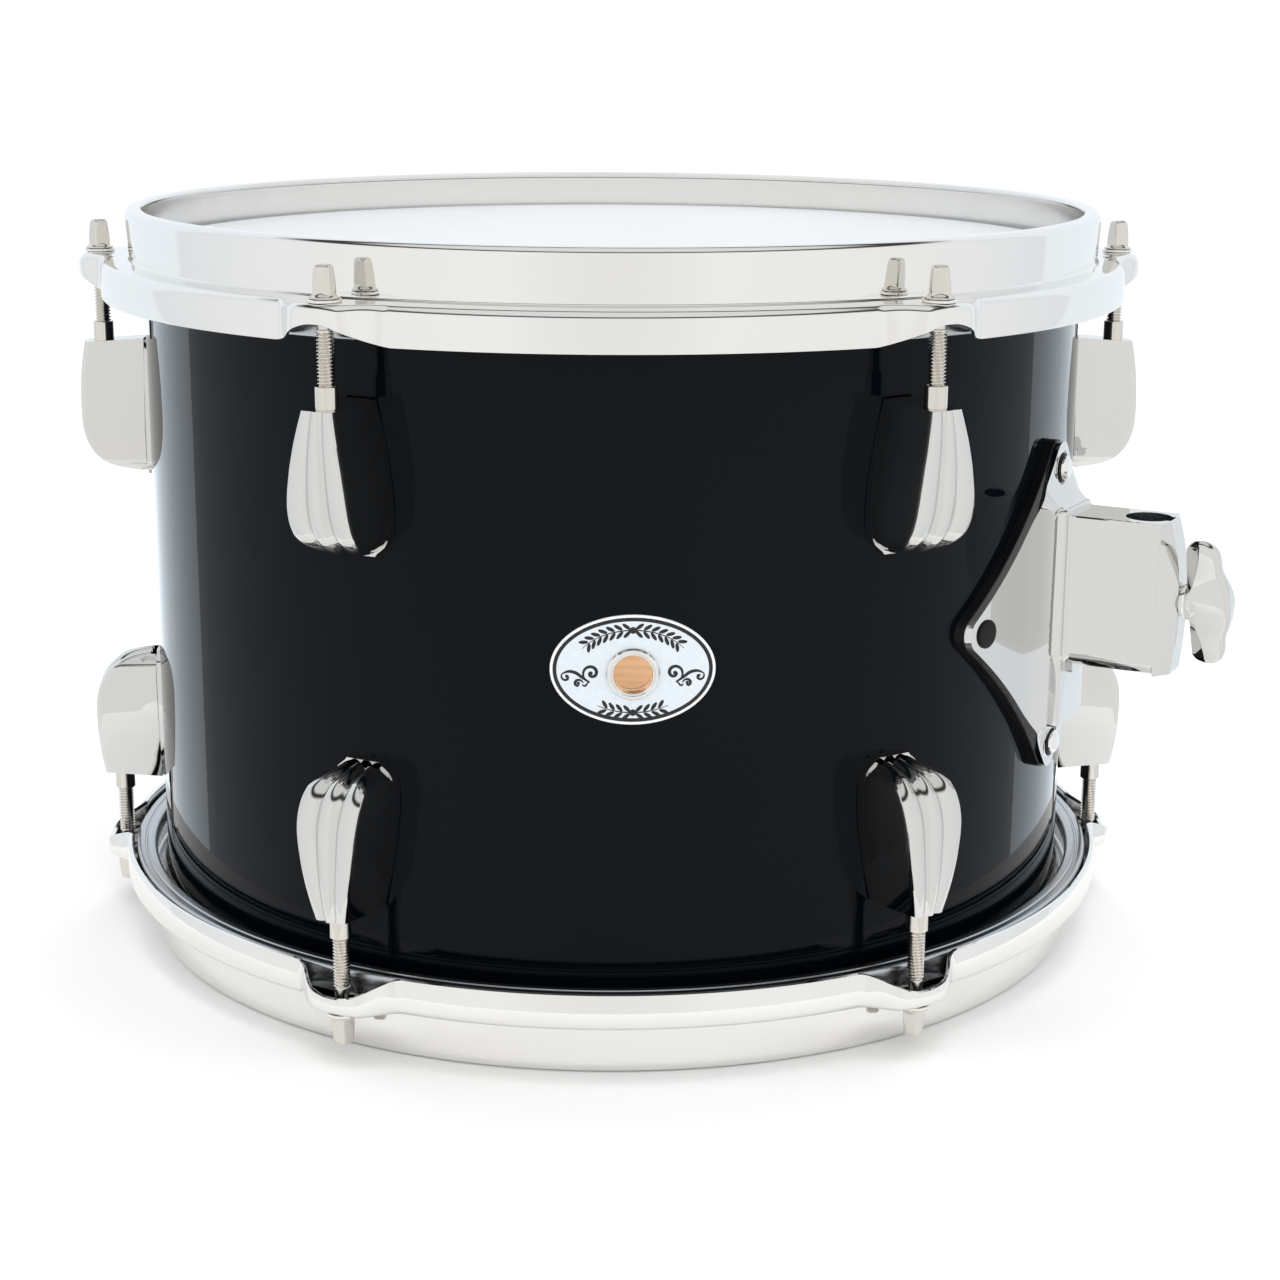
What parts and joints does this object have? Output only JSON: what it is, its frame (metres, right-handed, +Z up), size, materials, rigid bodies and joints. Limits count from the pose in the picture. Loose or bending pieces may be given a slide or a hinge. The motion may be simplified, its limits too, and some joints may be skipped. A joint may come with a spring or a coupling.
{
  "type": "tom tom drum",
  "caption": "Rack tom drum: gloss black wood shell, flanged chrome hoops, tension rods, cast lugs, oval vent badge and a clamping arm mount.",
  "frame": {"origin": "centre of the resonant hoop's rim, on the drum's axis, in the plane that the drum stands on", "axes": "+Z up along the drum's axis towards the batter head; the badge faces -Y; +X is to the right seen from the badge"},
  "size_m": [0.3855, 0.356, 0.255],
  "materials": {
    "lacquered_shell": "deep gloss black lacquer over maple, bare maple inside",
    "bare_maple": "sanded and clear sealed",
    "coated_film": "polyester film with a fine white sprayed coating",
    "clear_film": "clear polyester film",
    "aluminium": "satin rolled channel",
    "black_rubber": "moulded, low sheen",
    "badge_metal": "bright rim, satin field with dark ornament",
    "plain_steel": "zinc plated",
    "chrome": "bright nickel-chrome plate"
  },
  "bodies": {
    "drum_shell": {"badge_plate": "badge_metal", "batter_lug_front_left": "chrome", "batter_lug_front_right": "chrome", "batter_lug_left": "chrome", "batter_lug_rear_left": "chrome", "batter_lug_rear_right": "chrome", "batter_lug_right": "chrome", "batter_nut_clips": "plain_steel", "batter_reinforcement_ring": "bare_maple", "batter_swivel_nuts": "chrome", "lug_screw_washers": "plain_steel", "lug_screws": "plain_steel", "mount_bracket": "chrome", "mount_gasket": "black_rubber", "mount_isolators": "black_rubber", "mount_lock_nuts": "plain_steel", "mount_plugs": "black_rubber", "mount_screws": "chrome", "mount_washers": "plain_steel", "resonant_lug_front_left": "chrome", "resonant_lug_front_right": "chrome", "resonant_lug_left": "chrome", "resonant_lug_rear_left": "chrome", "resonant_lug_rear_right": "chrome", "resonant_lug_right": "chrome", "resonant_nut_clips": "plain_steel", "resonant_reinforcement_ring": "bare_maple", "resonant_swivel_nuts": "chrome", "shell": "lacquered_shell", "vent_grommet": "chrome", "vent_grommet_washer": "plain_steel", "wing_washer": "chrome"},
    "batter_rim": {"batter_hoop": "chrome", "batter_flesh_hoop": "aluminium", "batter_head_film": "coated_film", "batter_rod_washers": "chrome"},
    "batter_rod_front_right": {"batter_tension_rod_front_right": "chrome"},
    "batter_rod_right": {"batter_tension_rod_right": "chrome"},
    "batter_rod_rear_right": {"batter_tension_rod_rear_right": "chrome"},
    "batter_rod_rear_left": {"batter_tension_rod_rear_left": "chrome"},
    "batter_rod_left": {"batter_tension_rod_left": "chrome"},
    "batter_rod_front_left": {"batter_tension_rod_front_left": "chrome"},
    "resonant_rim": {"resonant_hoop": "chrome", "resonant_flesh_hoop": "aluminium", "resonant_head_film": "clear_film", "resonant_rod_washers": "chrome"},
    "resonant_rod_front_right": {"resonant_tension_rod_front_right": "chrome"},
    "resonant_rod_right": {"resonant_tension_rod_right": "chrome"},
    "resonant_rod_rear_right": {"resonant_tension_rod_rear_right": "chrome"},
    "resonant_rod_rear_left": {"resonant_tension_rod_rear_left": "chrome"},
    "resonant_rod_left": {"resonant_tension_rod_left": "chrome"},
    "resonant_rod_front_left": {"resonant_tension_rod_front_left": "chrome"},
    "clamp_eye": {"clamp_eye_bolt": "chrome"},
    "wing": {"wing_nut": "chrome"}
  },
  "joints": [
    {"name": "batter_tension", "type": "slide", "parent": "drum_shell", "child": "batter_rim", "axis": [0, 0, 1], "range_m": [0, 0.003]},
    {"name": "batter_rod_front_right_turn", "type": "hinge", "parent": "batter_rim", "child": "batter_rod_front_right", "pos_m": [0.09, -0.15588, 0.239], "axis": [0, 0, 1], "range_deg": [0, 1030]},
    {"name": "batter_rod_right_turn", "type": "hinge", "parent": "batter_rim", "child": "batter_rod_right", "pos_m": [0.18, 0, 0.239], "axis": [0, 0, 1], "range_deg": [0, 1030]},
    {"name": "batter_rod_rear_right_turn", "type": "hinge", "parent": "batter_rim", "child": "batter_rod_rear_right", "pos_m": [0.09, 0.15588, 0.239], "axis": [0, 0, 1], "range_deg": [0, 1030]},
    {"name": "batter_rod_rear_left_turn", "type": "hinge", "parent": "batter_rim", "child": "batter_rod_rear_left", "pos_m": [-0.09, 0.15588, 0.239], "axis": [0, 0, 1], "range_deg": [0, 1030]},
    {"name": "batter_rod_left_turn", "type": "hinge", "parent": "batter_rim", "child": "batter_rod_left", "pos_m": [-0.18, 0, 0.239], "axis": [0, 0, 1], "range_deg": [0, 1030]},
    {"name": "batter_rod_front_left_turn", "type": "hinge", "parent": "batter_rim", "child": "batter_rod_front_left", "pos_m": [-0.09, -0.15588, 0.239], "axis": [0, 0, 1], "range_deg": [0, 1030]},
    {"name": "resonant_tension", "type": "slide", "parent": "drum_shell", "child": "resonant_rim", "axis": [0, 0, -1], "range_m": [0, 0.003]},
    {"name": "resonant_rod_front_right_turn", "type": "hinge", "parent": "resonant_rim", "child": "resonant_rod_front_right", "pos_m": [0.09, -0.15588, 0.016], "axis": [0, 0, -1], "range_deg": [0, 1030]},
    {"name": "resonant_rod_right_turn", "type": "hinge", "parent": "resonant_rim", "child": "resonant_rod_right", "pos_m": [0.18, 0, 0.016], "axis": [0, 0, -1], "range_deg": [0, 1030]},
    {"name": "resonant_rod_rear_right_turn", "type": "hinge", "parent": "resonant_rim", "child": "resonant_rod_rear_right", "pos_m": [0.09, 0.15588, 0.016], "axis": [0, 0, -1], "range_deg": [0, 1030]},
    {"name": "resonant_rod_rear_left_turn", "type": "hinge", "parent": "resonant_rim", "child": "resonant_rod_rear_left", "pos_m": [-0.09, 0.15588, 0.016], "axis": [0, 0, -1], "range_deg": [0, 1030]},
    {"name": "resonant_rod_left_turn", "type": "hinge", "parent": "resonant_rim", "child": "resonant_rod_left", "pos_m": [-0.18, 0, 0.016], "axis": [0, 0, -1], "range_deg": [0, 1030]},
    {"name": "resonant_rod_front_left_turn", "type": "hinge", "parent": "resonant_rim", "child": "resonant_rod_front_left", "pos_m": [-0.09, -0.15588, 0.016], "axis": [0, 0, -1], "range_deg": [0, 1030]},
    {"name": "wing_turn", "type": "hinge", "parent": "drum_shell", "child": "wing", "pos_m": [0.18515, -0.11125, 0.136], "axis": [-0.8572, 0.515, 0], "range_deg": [0, 540]},
    {"name": "eye_bolt_draw", "type": "slide", "parent": "drum_shell", "child": "clamp_eye", "axis": [0.8572, -0.515, 0], "range_m": [0, 0.0019]}
  ],
  "couplings": [
    {"joint": "batter_rod_front_right_turn", "follows": "batter_tension", "rad_per_m": 5936.9},
    {"joint": "batter_rod_right_turn", "follows": "batter_tension", "rad_per_m": 5936.9},
    {"joint": "batter_rod_rear_right_turn", "follows": "batter_tension", "rad_per_m": 5936.9},
    {"joint": "batter_rod_rear_left_turn", "follows": "batter_tension", "rad_per_m": 5936.9},
    {"joint": "batter_rod_left_turn", "follows": "batter_tension", "rad_per_m": 5936.9},
    {"joint": "batter_rod_front_left_turn", "follows": "batter_tension", "rad_per_m": 5936.9},
    {"joint": "resonant_rod_front_right_turn", "follows": "resonant_tension", "rad_per_m": 5936.9},
    {"joint": "resonant_rod_right_turn", "follows": "resonant_tension", "rad_per_m": 5936.9},
    {"joint": "resonant_rod_rear_right_turn", "follows": "resonant_tension", "rad_per_m": 5936.9},
    {"joint": "resonant_rod_rear_left_turn", "follows": "resonant_tension", "rad_per_m": 5936.9},
    {"joint": "resonant_rod_left_turn", "follows": "resonant_tension", "rad_per_m": 5936.9},
    {"joint": "resonant_rod_front_left_turn", "follows": "resonant_tension", "rad_per_m": 5936.9},
    {"joint": "eye_bolt_draw", "follows": "wing_turn", "m_per_rad": 0.00019894}
  ]
}
